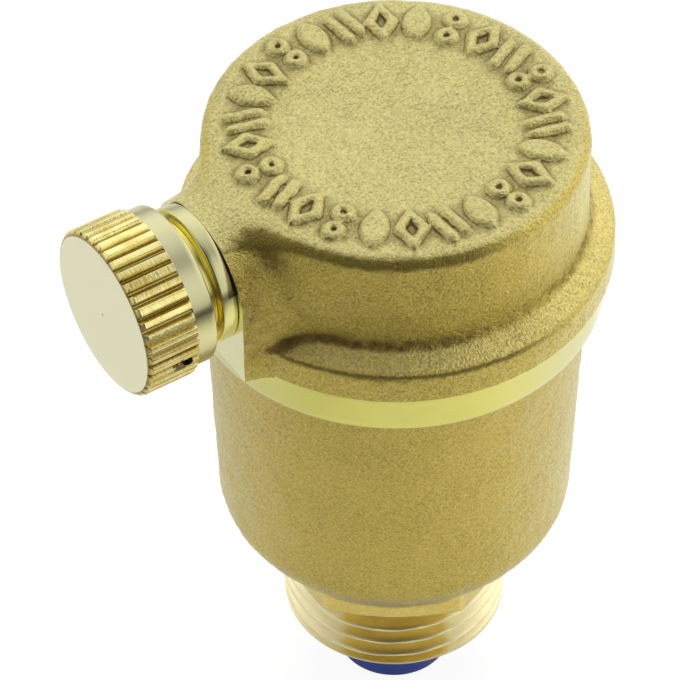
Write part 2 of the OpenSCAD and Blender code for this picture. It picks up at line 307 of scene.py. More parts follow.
def surface_nets(f, origin, h):
    """Closed quad mesh of f = 0 (f < 0 inside) on a regular grid."""
    nx, ny, nz = f.shape
    # no checkerboard faces, so that the mesh is manifold
    for _ in range(20):
        found = 0
        for a, b in ((0, 1), (1, 2), (0, 2)):
            sl = {}
            for i in (0, 1):
                for j in (0, 1):
                    q = [slice(None)] * 3
                    q[a] = slice(i, f.shape[a] - 1 + i)
                    q[b] = slice(j, f.shape[b] - 1 + j)
                    sl[i, j] = tuple(q)
            s = {k: f[v] < 0 for k, v in sl.items()}
            bad = (s[0, 0] == s[1, 1]) & (s[1, 0] == s[0, 1]) & (s[0, 0] != s[1, 0])
            w = np.argwhere(bad)
            found += len(w)
            for c in w:
                best = None
                for i in (0, 1):
                    for j in (0, 1):
                        g = c.copy()
                        g[a] += i
                        g[b] += j
                        val = f[tuple(g)]
                        if val >= 0 and (best is None or val < best[0]):
                            best = (val, tuple(g))
                if best:
                    f[best[1]] = -1e-3
        if not found:
            break
    s = f < 0
    cnt = np.zeros((nx - 1, ny - 1, nz - 1), np.int8)
    for i in (0, 1):
        for j in (0, 1):
            for k in (0, 1):
                cnt += s[i:nx - 1 + i, j:ny - 1 + j, k:nz - 1 + k]
    mixed = (cnt > 0) & (cnt < 8)
    cells = np.argwhere(mixed)
    index = -np.ones(mixed.shape, np.int64)
    index[mixed] = np.arange(len(cells))
    pos = np.zeros((len(cells), 3))
    num = np.zeros(len(cells))
    corners = [(i, j, k) for i in (0, 1) for j in (0, 1) for k in (0, 1)]
    for a in corners:
        for ax in range(3):
            if a[ax]:
                continue
            b = list(a)
            b[ax] = 1
            fa = f[cells[:, 0] + a[0], cells[:, 1] + a[1], cells[:, 2] + a[2]]
            fb = f[cells[:, 0] + b[0], cells[:, 1] + b[1], cells[:, 2] + b[2]]
            m = (fa < 0) != (fb < 0)
            t = np.where(m, fa / np.where(fa == fb, 1, fa - fb), 0)
            p = np.tile(np.array(a, float), (len(cells), 1))
            p[:, ax] += t
            pos[m] += p[m]
            num[m] += 1
    verts = (cells + pos / num[:, None]) * h + np.array(origin)
    quads = []
    for ax in range(3):
        u, v = [(1, 2), (2, 0), (0, 1)][ax]
        sl_a = [slice(None)] * 3
        sl_b = [slice(None)] * 3
        sl_a[ax] = slice(0, -1)
        sl_b[ax] = slice(1, None)
        cross = s[tuple(sl_a)] != s[tuple(sl_b)]
        e = np.argwhere(cross)
        e = e[(e[:, u] > 0) & (e[:, v] > 0) & (e[:, u] < f.shape[u] - 1) & (e[:, v] < f.shape[v] - 1)]
        inside_first = s[e[:, 0], e[:, 1], e[:, 2]]

        def cell(du, dv):
            c = e.copy()
            c[:, u] += du
            c[:, v] += dv
            return index[c[:, 0], c[:, 1], c[:, 2]]
        q = np.stack([cell(-1, -1), cell(0, -1), cell(0, 0), cell(-1, 0)], -1)
        q[~inside_first] = q[~inside_first][:, ::-1]
        quads.append(q)
    return verts, np.concatenate(quads)


def relax(verts, quads, rounds, factor, keep=None):
    """Evens out a mesh a little; keep holds a weight per vertex that stays put."""
    e = np.concatenate([quads[:, [0, 1]], quads[:, [1, 2]], quads[:, [2, 3]], quads[:, [3, 0]]])
    deg = np.bincount(e.ravel(), minlength=len(verts)).astype(float)[:, None]
    for _ in range(rounds):
        acc = np.zeros_like(verts)
        for c in range(3):
            acc[:, c] = np.bincount(e[:, 0], verts[e[:, 1], c], len(verts)) + \
                np.bincount(e[:, 1], verts[e[:, 0], c], len(verts))
        move = (acc / deg - verts) * factor
        if keep is not None:
            move *= (1 - keep)[:, None]
        verts = verts + move
    return verts


def read_mesh(ob):
    me = ob.data
    co = np.zeros(len(me.vertices) * 3)
    me.vertices.foreach_get("co", co)
    ed = np.zeros(len(me.edges) * 2, int)
    me.edges.foreach_get("vertices", ed)
    return co.reshape(-1, 3) / MM, ed.reshape(-1, 2)


def bend_attribute(ob, rounds=24, scale=0.25):
    """Stores how hollow (negative) or proud (positive) each point is, as a colour attribute."""
    co, ed = read_mesh(ob)
    me = ob.data
    nr = np.zeros(len(me.vertices) * 3)
    me.vertices.foreach_get("normal", nr)
    nr = nr.reshape(-1, 3)
    deg = np.bincount(ed.ravel(), minlength=len(co)).astype(float)[:, None]
    sm = co.copy()
    for _ in range(rounds):
        acc = np.zeros_like(sm)
        for c in range(3):
            acc[:, c] = np.bincount(ed[:, 0], sm[ed[:, 1], c], len(sm)) + \
                np.bincount(ed[:, 1], sm[ed[:, 0], c], len(sm))
        sm = sm * 0.4 + (acc / np.maximum(deg, 1)) * 0.6
    v = ((co - sm) * nr).sum(1) / scale
    v = np.clip(0.5 + 0.5 * v, 0, 1)
    at = me.attributes.get("bend") or me.attributes.new("bend", "FLOAT", "POINT")
    at.data.foreach_set("value", v.astype(np.float32))


# ------------------------------------------------------------------ materials
def nodes_of(name):
    m = bpy.data.materials.new(name)
    m.use_nodes = True
    nt = m.node_tree
    for n in list(nt.nodes):
        nt.nodes.remove(n)
    out = nt.nodes.new("ShaderNodeOutputMaterial")
    bsdf = nt.nodes.new("ShaderNodeBsdfPrincipled")
    nt.links.new(bsdf.outputs[0], out.inputs[0])
    return m, nt, bsdf


def coords(nt, scale=(1000, 1000, 1000), loc=(0, 0, 0)):
    """Object coordinates in mm."""
    tc = nt.nodes.new("ShaderNodeTexCoord")
    mp = nt.nodes.new("ShaderNodeMapping")
    mp.inputs["Scale"].default_value = scale
    mp.inputs["Location"].default_value = loc
    nt.links.new(tc.outputs["Object"], mp.inputs["Vector"])
    return mp.outputs[0]


def noise(nt, vec, scale, detail=2.0, rough=0.5, distortion=0.0):
    n = nt.nodes.new("ShaderNodeTexNoise")
    n.inputs["Scale"].default_value = scale
    n.inputs["Detail"].default_value = detail
    n.inputs["Roughness"].default_value = rough
    n.inputs["Distortion"].default_value = distortion
    nt.links.new(vec, n.inputs["Vector"])
    return n.outputs["Fac"]


def ramp(nt, fac, stops):
    r = nt.nodes.new("ShaderNodeValToRGB")
    e = r.color_ramp.elements
    while len(e) > 1:
        e.remove(e[0])
    e[0].position = stops[0][0]
    e[0].color = tuple(stops[0][1]) + (1,) if len(stops[0][1]) == 3 else stops[0][1]
    for p, c in stops[1:]:
        k = e.new(p)
        k.color = tuple(c) + (1,) if len(c) == 3 else c
    nt.links.new(fac, r.inputs[0])
    return r.outputs[0]


def maprange(nt, fac, a, b, c, d, smooth=False):
    m = nt.nodes.new("ShaderNodeMapRange")
    m.interpolation_type = "SMOOTHSTEP" if smooth else "LINEAR"
    for i, v in zip(("From Min", "From Max", "To Min", "To Max"), (a, b, c, d)):
        m.inputs[i].default_value = v
    nt.links.new(fac, m.inputs["Value"])
    return m.outputs[0]


def math_node(nt, op, a, b):
    m = nt.nodes.new("ShaderNodeMath")
    m.operation = op
    for i, v in enumerate((a, b)):
        if isinstance(v, (int, float)):
            m.inputs[i].default_value = v
        else:
            nt.links.new(v, m.inputs[i])
    return m.outputs[0]


def mixrgb(nt, fac, a, b, blend="MIX"):
    m = nt.nodes.new("ShaderNodeMix")
    m.data_type = "RGBA"
    m.blend_type = blend
    m.clamp_factor = True
    fi, ai, bi = m.inputs[0], m.inputs[6], m.inputs[7]
    for sock, v in ((fi, fac), (ai, a), (bi, b)):
        if isinstance(v, (int, float)):
            sock.default_value = v
        elif isinstance(v, tuple):
            sock.default_value = v if len(v) == 4 else v + (1,)
        else:
            nt.links.new(v, sock)
    return m.outputs[2]


def bump(nt, bsdf, height, strength, dist_mm, prev=None):
    b = nt.nodes.new("ShaderNodeBump")
    b.inputs["Strength"].default_value = strength
    b.inputs["Distance"].default_value = dist_mm * MM
    nt.links.new(height, b.inputs["Height"])
    if prev is not None:
        nt.links.new(prev, b.inputs["Normal"])
    if bsdf is not None:
        nt.links.new(b.outputs[0], bsdf.inputs["Normal"])
    return b.outputs[0]


def mat_cast(name, top=(0.62, 0.56, 0.245), wall=(0.56, 0.435, 0.098), grazing_light=(0.80, 0.75, 0.42), rough=0.37, grain=1.0, mottle=1.0):
    """Forged brass after blasting: fine bright grain, mottled tone, brown painted shade in the hollows, painted light
    by facing and painted glints.
    """
    m, nt, bsdf = nodes_of(name)
    v = coords(nt)
    fine = noise(nt, v, 3.9, 3.0, 0.66)
    mid = noise(nt, v, 0.55, 4.0, 0.6)
    big = noise(nt, v, 0.12, 2.0, 0.5)
    speck = noise(nt, v, 5.2, 1.0, 0.5)
    # painted light and shade: paler on top and browner on the walls by which way the surface faces, partly the cast's
    # own tone; painted grazing light where seen edge-on
    tc = nt.nodes.new("ShaderNodeTexCoord")
    sep = nt.nodes.new("ShaderNodeSeparateXYZ")
    nt.links.new(tc.outputs["Normal"], sep.inputs[0])
    zs = nt.nodes.new("ShaderNodeSeparateXYZ")
    nt.links.new(v, zs.inputs[0])
    lit_top_mask = math_node(nt, "MAXIMUM", maprange(nt, sep.outputs[2], 0.70, 0.99, 0, 1, True), maprange(nt, zs.outputs[2], TOP_Z - 0.15, TOP_Z + 0.1, 0, 0.9))
    col = mixrgb(nt, lit_top_mask, wall, top)
    lw = nt.nodes.new("ShaderNodeLayerWeight")
    lw.inputs["Blend"].default_value = 0.5
    col = mixrgb(nt, maprange(nt, lw.outputs["Facing"], 0.45, 0.95, 0, 0.8), col, grazing_light)
    # the shoulder is painted brighter: a painted highlight for the light it catches
    le = nt.nodes.new("ShaderNodeAttribute")
    le.attribute_name = "ledge_highlight"
    col = mixrgb(nt, math_node(nt, "MULTIPLY", le.outputs["Fac"], 0.80), col, (0.80, 0.67, 0.23))
    tone = math_node(nt, "ADD", math_node(nt, "MULTIPLY", fine, 0.74),
                     math_node(nt, "ADD", math_node(nt, "MULTIPLY", mid, 0.16), math_node(nt, "MULTIPLY", big, 0.14)))
    shade_k = ramp(nt, tone, [(0.36, (0.50, 0.47, 0.38)), (0.53, (0.98, 0.98, 0.96)), (0.70, (1.30, 1.30, 1.30))])
    col = mixrgb(nt, mottle, col, shade_k, "MULTIPLY")
    # painted glints: bright specks of sparkle on the blasted grain
    glint_mask = maprange(nt, speck, 0.57, 0.70, 0, 0.55)
    col = mixrgb(nt, glint_mask, col, tuple(min(1.0, c * 1.32) for c in top))
    # painted shade: hollows darkened brown; painted highlight: proud edges lightened
    at = nt.nodes.new("ShaderNodeAttribute")
    at.attribute_name = "bend"
    flat_top = maprange(nt, sep.outputs[2], 0.80, 0.97, 1.0, 0.45)
    crease_shade = math_node(nt, "MULTIPLY", maprange(nt, at.outputs["Fac"], 0.46, 0.20, 0, 0.90, True), flat_top)
    col = mixrgb(nt, crease_shade, col, (0.13, 0.082, 0.022))
    proud_highlight = maprange(nt, at.outputs["Fac"], 0.58, 0.88, 0, 0.25, True)
    col = mixrgb(nt, proud_highlight, col, tuple(min(1.0, c * 1.2) for c in top))
    # real tarnish patches plus painted shade in the wall-shoulder corner
    ta = nt.nodes.new("ShaderNodeAttribute")
    ta.attribute_name = "tarnish_and_corner_shade"
    patchy = math_node(nt, "ADD", ta.outputs["Fac"], math_node(nt, "MULTIPLY", math_node(nt, "SUBTRACT", fine, 0.5), 1.8))
    patchy = math_node(nt, "ADD", patchy, math_node(nt, "MULTIPLY", math_node(nt, "SUBTRACT", mid, 0.5), 1.3))
    stain = math_node(nt, "MULTIPLY", maprange(nt, patchy, 0.28, 0.95, 0, 0.84, True),
                      maprange(nt, ta.outputs["Fac"], 0.02, 0.20, 0, 1, True))
    col = mixrgb(nt, stain, col, (0.150, 0.088, 0.026))
    # painted shade: darker where the top edge and lower rim turn towards the viewer
    sh = nt.nodes.new("ShaderNodeAttribute")
    sh.attribute_name = "front_edge_shade"
    col = mixrgb(nt, math_node(nt, "MULTIPLY", sh.outputs["Fac"], 0.86), col, (0.19, 0.15, 0.032))
    nt.links.new(col, bsdf.inputs["Base Color"])
    bsdf.inputs["Metallic"].default_value = 0.92
    nt.links.new(maprange(nt, mid, 0.3, 0.7, rough - 0.05, rough + 0.08), bsdf.inputs["Roughness"])
    b1 = bump(nt, None, fine, 1.0, 0.105 * grain)
    bump(nt, bsdf, speck, 0.8, 0.05 * grain, b1)
    return m


def mat_turned(name, color=(0.80, 0.73, 0.42), rough=0.16, lines=7.0, axis="Z", stain=0.25, warm=(0.62, 0.50, 0.17), grazing_light=None):
    """Turned brass: fine tool lines round the axis, faint stains."""
    m, nt, bsdf = nodes_of(name)
    v = coords(nt)
    sep = nt.nodes.new("ShaderNodeSeparateXYZ")
    nt.links.new(v, sep.inputs[0])
    # distance along the axis plus distance from it: makes lines on walls and rings on faces
    ax = {"Z": 2, "X": 0}[axis]
    if axis == "Z":
        a, b = sep.outputs[0], sep.outputs[1]
    else:
        a, b = sep.outputs[1], math_node(nt, "SUBTRACT", sep.outputs[2], VENT_Z)
    r = math_node(nt, "SQRT", math_node(nt, "ADD", math_node(nt, "MULTIPLY", a, a), math_node(nt, "MULTIPLY", b, b)), 0)
    s = math_node(nt, "ADD", math_node(nt, "MULTIPLY", sep.outputs[ax], 1.0), r)
    comb = nt.nodes.new("ShaderNodeCombineXYZ")
    nt.links.new(s, comb.inputs[0])
    lines_n = noise(nt, comb.outputs[0], lines, 3.0, 0.7)
    cloud = noise(nt, v, 0.35, 3.0, 0.6, 0.4)
    col = mixrgb(nt, maprange(nt, cloud, 0.42, 0.72, 0, stain), color, warm)
    col = mixrgb(nt, maprange(nt, lines_n, 0.35, 0.65, 0, 0.22), col, tuple(c * 0.82 for c in color))
    # painted reflection: paler where seen edge-on
    if grazing_light is not None:
        lw = nt.nodes.new("ShaderNodeLayerWeight")
        lw.inputs["Blend"].default_value = 0.5
        col = mixrgb(nt, maprange(nt, lw.outputs["Facing"], 0.34, 0.66, 0, 0.9, True), col, grazing_light)
    nt.links.new(col, bsdf.inputs["Base Color"])
    bsdf.inputs["Metallic"].default_value = 1.0
    nt.links.new(maprange(nt, cloud, 0.3, 0.7, rough - 0.03, rough + 0.06), bsdf.inputs["Roughness"])
    bump(nt, bsdf, lines_n, 0.22, 0.012)
    return m


def mat_ring(name, color, low, rough, reflected_horizon, crescent_shade=None, horizon_dark=0.50):
    """Turned ring round the vent axis: a painted reflection of a dark horizon as a line along its flank, painted
    lighter below it.
    """
    m, nt, bsdf = nodes_of(name)
    v = coords(nt)
    sep = nt.nodes.new("ShaderNodeSeparateXYZ")
    nt.links.new(v, sep.inputs[0])
    a, b = sep.outputs[1], math_node(nt, "SUBTRACT", sep.outputs[2], VENT_Z)
    r = math_node(nt, "SQRT", math_node(nt, "ADD", math_node(nt, "MULTIPLY", a, a), math_node(nt, "MULTIPLY", b, b)), 0)
    h = math_node(nt, "DIVIDE", b, r)
    along = math_node(nt, "MULTIPLY", sep.outputs[0], -1.0)
    comb = nt.nodes.new("ShaderNodeCombineXYZ")
    nt.links.new(math_node(nt, "ADD", along, r), comb.inputs[0])
    lines_n = noise(nt, comb.outputs[0], 7.0, 3.0, 0.7)
    cloud = noise(nt, v, 0.35, 3.0, 0.6, 0.4)
    wob = math_node(nt, "ADD", h, math_node(nt, "MULTIPLY", math_node(nt, "SUBTRACT", cloud, 0.5), 0.05))
    # painted reflection: one colour below the reflected horizon line, another above it
    col = mixrgb(nt, maprange(nt, wob, reflected_horizon - 0.02, reflected_horizon + 0.01, 0, 1, True), low, color)
    # painted dark band at the reflected horizon line
    k = ramp(nt, maprange(nt, wob, -1, 1, 0, 1),
             [(0.0, (1, 1, 1)), ((reflected_horizon + 0.985) / 2, (1, 1, 1)), ((reflected_horizon + 1.03) / 2, (horizon_dark, horizon_dark * 0.97, horizon_dark * 0.86)),
              ((reflected_horizon + 1.25) / 2, (0.80, 0.79, 0.76)), (0.90, (1, 1, 1)), (1.0, (0.95, 0.95, 0.93))])
    col = mixrgb(nt, 1.0, col, k, "MULTIPLY")
    # painted shade: a dark crescent on the collar beside the boss
    if crescent_shade is not None:
        w = maprange(nt, h, 0.95, reflected_horizon + 0.02, crescent_shade[1], crescent_shade[2])
        d = math_node(nt, "SUBTRACT", math_node(nt, "SUBTRACT", along, crescent_shade[0]), w)
        c = math_node(nt, "MULTIPLY", maprange(nt, d, 0.10, -0.12, 0, 0.94, True), maprange(nt, wob, reflected_horizon - 0.01, reflected_horizon + 0.02, 0, 1, True))
        col = mixrgb(nt, c, col, (0.13, 0.095, 0.022))
    col = mixrgb(nt, maprange(nt, lines_n, 0.35, 0.65, 0, 0.16), col, tuple(c * 0.8 for c in color))
    nt.links.new(col, bsdf.inputs["Base Color"])
    bsdf.inputs["Metallic"].default_value = 1.0
    nt.links.new(maprange(nt, cloud, 0.3, 0.7, rough - 0.02, rough + 0.05), bsdf.inputs["Roughness"])
    bump(nt, bsdf, lines_n, 0.22, 0.012)
    return m


def mat_thread(name):
    """Cut pipe thread: dark gold flanks, painted highlights on the crests, painted reflections where seen edge-on and
    at both sides.
    """
    m, nt, bsdf = nodes_of(name)
    v = coords(nt)
    sep = nt.nodes.new("ShaderNodeSeparateXYZ")
    nt.links.new(v, sep.inputs[0])
    xx, yy = sep.outputs[0], sep.outputs[1]
    r = math_node(nt, "SQRT", math_node(nt, "ADD", math_node(nt, "MULTIPLY", xx, xx), math_node(nt, "MULTIPLY", yy, yy)), 0)
    cloud = noise(nt, v, 0.35, 3.0, 0.6)
    comb = nt.nodes.new("ShaderNodeCombineXYZ")
    nt.links.new(math_node(nt, "ADD", sep.outputs[2], r), comb.inputs[0])
    lines_n = noise(nt, comb.outputs[0], 6.0, 3.0, 0.7)
    col = mixrgb(nt, maprange(nt, cloud, 0.38, 0.68, 0, 1), (0.84, 0.65, 0.19), (0.72, 0.54, 0.135))
    # painted reflection: pale where seen edge-on
    lw = nt.nodes.new("ShaderNodeLayerWeight")
    lw.inputs["Blend"].default_value = 0.5
    col = mixrgb(nt, maprange(nt, lw.outputs["Facing"], 0.10, 0.34, 0, 0.9, True), col, (0.88, 0.83, 0.58))
    # painted reflection: bright at both sides as seen from the camera, brown in the middle
    az = math.radians(-32.7)
    across = math_node(nt, "ADD", math_node(nt, "MULTIPLY", xx, math.cos(az)), math_node(nt, "MULTIPLY", yy, math.sin(az)))
    side = math_node(nt, "ABSOLUTE", math_node(nt, "DIVIDE", across, r), 0)
    side = math_node(nt, "ADD", side, math_node(nt, "MULTIPLY", math_node(nt, "SUBTRACT", cloud, 0.5), 0.06))
    col = mixrgb(nt, maprange(nt, side, 0.43, 0.54, 0, 0.85, True), col, (0.93, 0.88, 0.60))
    # painted highlight on the crests
    crest_highlight = maprange(nt, r, THREAD_R - 0.20, THREAD_R - 0.06, 0, 0.9, True)
    col = mixrgb(nt, crest_highlight, col, (0.90, 0.80, 0.46))
    nt.links.new(col, bsdf.inputs["Base Color"])
    bsdf.inputs["Metallic"].default_value = 1.0
    nt.links.new(maprange(nt, cloud, 0.3, 0.7, 0.36, 0.44), bsdf.inputs["Roughness"])
    bump(nt, bsdf, lines_n, 0.2, 0.012)
    return m


def mat_knurl(name):
    """Rolled knurl: bright rib tops, brown painted shade in the grooves and on its lower side, fine cross marks from
    the wheel.
    """
    m, nt, bsdf = nodes_of(name)
    v = coords(nt)
    sep = nt.nodes.new("ShaderNodeSeparateXYZ")
    nt.links.new(v, sep.inputs[0])
    zz = math_node(nt, "SUBTRACT", sep.outputs[2], VENT_Z)
    yy = sep.outputs[1]
    r = math_node(nt, "SQRT", math_node(nt, "ADD", math_node(nt, "MULTIPLY", yy, yy), math_node(nt, "MULTIPLY", zz, zz)), 0)
    cloud = noise(nt, v, 0.42, 3.0, 0.6)
    fine = noise(nt, v, 2.6, 3.0, 0.7)
    col = mixrgb(nt, maprange(nt, cloud, 0.40, 0.62, 0, 1), (0.95, 0.86, 0.38), (0.80, 0.67, 0.23))
    deep = math_node(nt, "ADD", r, math_node(nt, "MULTIPLY", math_node(nt, "SUBTRACT", fine, 0.5), 0.22))
    # painted shade: darker on the knurl's lower side
    low = maprange(nt, math_node(nt, "DIVIDE", zz, CAP_R), 0.30, 0.05, 0, 0.38, True)
    col = mixrgb(nt, low, col, (0.42, 0.29, 0.06))
    # painted shade: brown in the grooves
    groove_shade = maprange(nt, deep, CAP_R - 0.12, CAP_R - 0.38, 0, 0.80, True)
    col = mixrgb(nt, groove_shade, col, (0.27, 0.18, 0.045))
    dist = nt.nodes.new("ShaderNodeVectorMath")
    dist.operation = "DISTANCE"
    nt.links.new(v, dist.inputs[0])
    dist.inputs[1].default_value = (-26.75, -7.5, VENT_Z - 1.55)
    near = math_node(nt, "ADD", dist.outputs["Value"], math_node(nt, "MULTIPLY", math_node(nt, "SUBTRACT", fine, 0.5), 3.2))
    col = mixrgb(nt, maprange(nt, near, 0.95, 0.55, 0, 0.88, True), col, (0.10, 0.035, 0.012))
    nt.links.new(col, bsdf.inputs["Base Color"])
    bsdf.inputs["Metallic"].default_value = 1.0
    nt.links.new(maprange(nt, fine, 0.3, 0.7, 0.18, 0.34), bsdf.inputs["Roughness"])
    comb = nt.nodes.new("ShaderNodeCombineXYZ")
    nt.links.new(sep.outputs[0], comb.inputs[0])
    nt.links.new(math_node(nt, "MULTIPLY", cloud, 1.5), comb.inputs[1])
    cross = noise(nt, comb.outputs[0], 3.6, 1.0, 0.5)
    b1 = bump(nt, None, cross, 0.5, 0.05)
    bump(nt, bsdf, fine, 0.4, 0.03, b1)
    return m


def mat_metal(name, color, rough=0.25, scale=1.2):
    m, nt, bsdf = nodes_of(name)
    v = coords(nt, (1000, 1000, 1000))
    n1 = noise(nt, v, scale, 4.0, 0.6)
    n2 = noise(nt, v, scale * 7, 2.0, 0.6)
    col = mixrgb(nt, maprange(nt, n1, 0.35, 0.7, 0, 0.35), color, tuple(c * 0.72 for c in color))
    nt.links.new(col, bsdf.inputs["Base Color"])
    bsdf.inputs["Metallic"].default_value = 1.0
    nt.links.new(maprange(nt, n2, 0.3, 0.7, rough - 0.05, rough + 0.08), bsdf.inputs["Roughness"])
    bump(nt, bsdf, n2, 0.2, 0.01)
    return m


def mat_plastic(name, color, rough=0.38, sub=0.0, grain=0.25):
    m, nt, bsdf = nodes_of(name)
    v = coords(nt)
    n1 = noise(nt, v, 0.5, 3.0, 0.5)
    n2 = noise(nt, v, 5.0, 2.0, 0.5)
    col = mixrgb(nt, maprange(nt, n1, 0.35, 0.7, 0, 0.4), color, tuple(c * 0.7 for c in color))
    nt.links.new(col, bsdf.inputs["Base Color"])
    nt.links.new(maprange(nt, n2, 0.3, 0.7, rough - 0.05, rough + 0.07), bsdf.inputs["Roughness"])
    bsdf.inputs["Subsurface Weight"].default_value = sub
    bsdf.inputs["Subsurface Radius"].default_value = (0.001, 0.001, 0.002)
    bump(nt, bsdf, n2, grain, 0.015)
    return m


# cast colours: the top and wall colours are painted light and shade by facing, partly the casting's own tone; the edge
# colour is painted grazing light, darker on the hexagon
M_COVER = mat_cast("cast_cover", top=(0.64, 0.58, 0.25), wall=(0.655, 0.52, 0.118), grazing_light=(0.76, 0.73, 0.40), grain=1.4, mottle=0.85)
M_BODY = mat_cast("cast_body", top=(0.60, 0.51, 0.19), wall=(0.585, 0.46, 0.108), grazing_light=(0.62, 0.57, 0.30), grain=0.8, mottle=0.65)
M_HEX = mat_cast("forged_hexagon", top=(0.70, 0.60, 0.24), wall=(0.90, 0.72, 0.21), grazing_light=(0.36, 0.31, 0.15), grain=0.5, mottle=0.3)
# turned body: its edge colour is painted grazing light
M_TURN_Z = mat_turned("turned_body", color=(0.72, 0.685, 0.185), rough=0.2, warm=(0.66, 0.615, 0.15), stain=0.15, grazing_light=(0.66, 0.645, 0.34))
M_THREAD = mat_thread("turned_thread")
M_FACE = mat_turned("turned_boss_face", color=(0.80, 0.78, 0.46), rough=0.12, axis="X", stain=0.1)
M_NOZ = mat_turned("turned_nozzle", color=(0.66, 0.63, 0.35), rough=0.12, axis="X", warm=(0.62, 0.55, 0.20), stain=0.2)
# collar, neck and band colours are painted reflections; the neck is painted brighter against the shade in its gap
M_COLLAR = mat_ring("turned_collar", (0.66, 0.64, 0.35), (0.80, 0.76, 0.30), 0.19, 0.31, (BOSS_X, 0.02, 0.80), horizon_dark=0.80)
M_NECK = mat_ring("turned_neck", (0.98, 0.88, 0.28), (0.85, 0.68, 0.14), 0.22, 0.32)
M_CAP = mat_turned("turned_cap", color=(0.88, 0.87, 0.60), rough=0.17, axis="X", stain=0.10, warm=(0.82, 0.78, 0.46))
M_BAND = mat_ring("turned_band", (0.66, 0.635, 0.38), (0.72, 0.685, 0.34), 0.19, 0.32)
M_KNURL = mat_knurl("knurl")
M_STEEL = mat_metal("stainless", (0.62, 0.62, 0.61), 0.24)
M_RUBBER = mat_plastic("black_rubber", (0.018, 0.018, 0.02), 0.55)
M_SILICONE = mat_plastic("silicone", (0.42, 0.06, 0.035), 0.45, 0.05)
M_BLUE = mat_plastic("blue_plastic", (0.040, 0.085, 0.44), 0.34, 0.05)


def set_mats(ob, mats, index=None):
    me = ob.data
    me.materials.clear()
    for m in mats:
        me.materials.append(m)
    if index is not None:
        me.polygons.foreach_set("material_index", index.astype(np.int32))
    me.update()


def face_data(ob):
    me = ob.data
    n = len(me.polygons)
    c = np.zeros(n * 3)
    nr = np.zeros(n * 3)
    me.polygons.foreach_get("center", c)
    me.polygons.foreach_get("normal", nr)
    return c.reshape(-1, 3) / MM, nr.reshape(-1, 3)


# ------------------------------------------------------------------ threads
def thread_height(z, th, pitch, phase=0.0):
    """0 at the root, 1 at the crest, rounded like a pipe thread; right-handed."""
    t = ((z - phase) / pitch - th / (2 * PI)) % 1.0
    tri = np.abs(2 * t - 1)
    s = np.clip((tri - 0.13) / 0.74, 0, 1)
    return s * s * (3 - 2 * s) * 0.35 + s * 0.65


# ------------------------------------------------------------------ body
def corner_curve():
    """The cast cup's rounded bottom: radius as a function of height."""
    a = np.radians(np.linspace(0, -33, 14))
    r = list(16.4 - 4.3 + 4.3 * np.cos(a))
    z = list(17.35 + 4.3 * np.sin(a))
    for p in [(14.95, 13.95), (13.65, 12.3), (12.3, 10.75), (11.2, 9.6), (9.8, 8.1), (9.0, 7.2)]:
        r.append(p[0])
        z.append(p[1])
    o = np.argsort(z)
    return np.array(z)[o], np.array(r)[o]


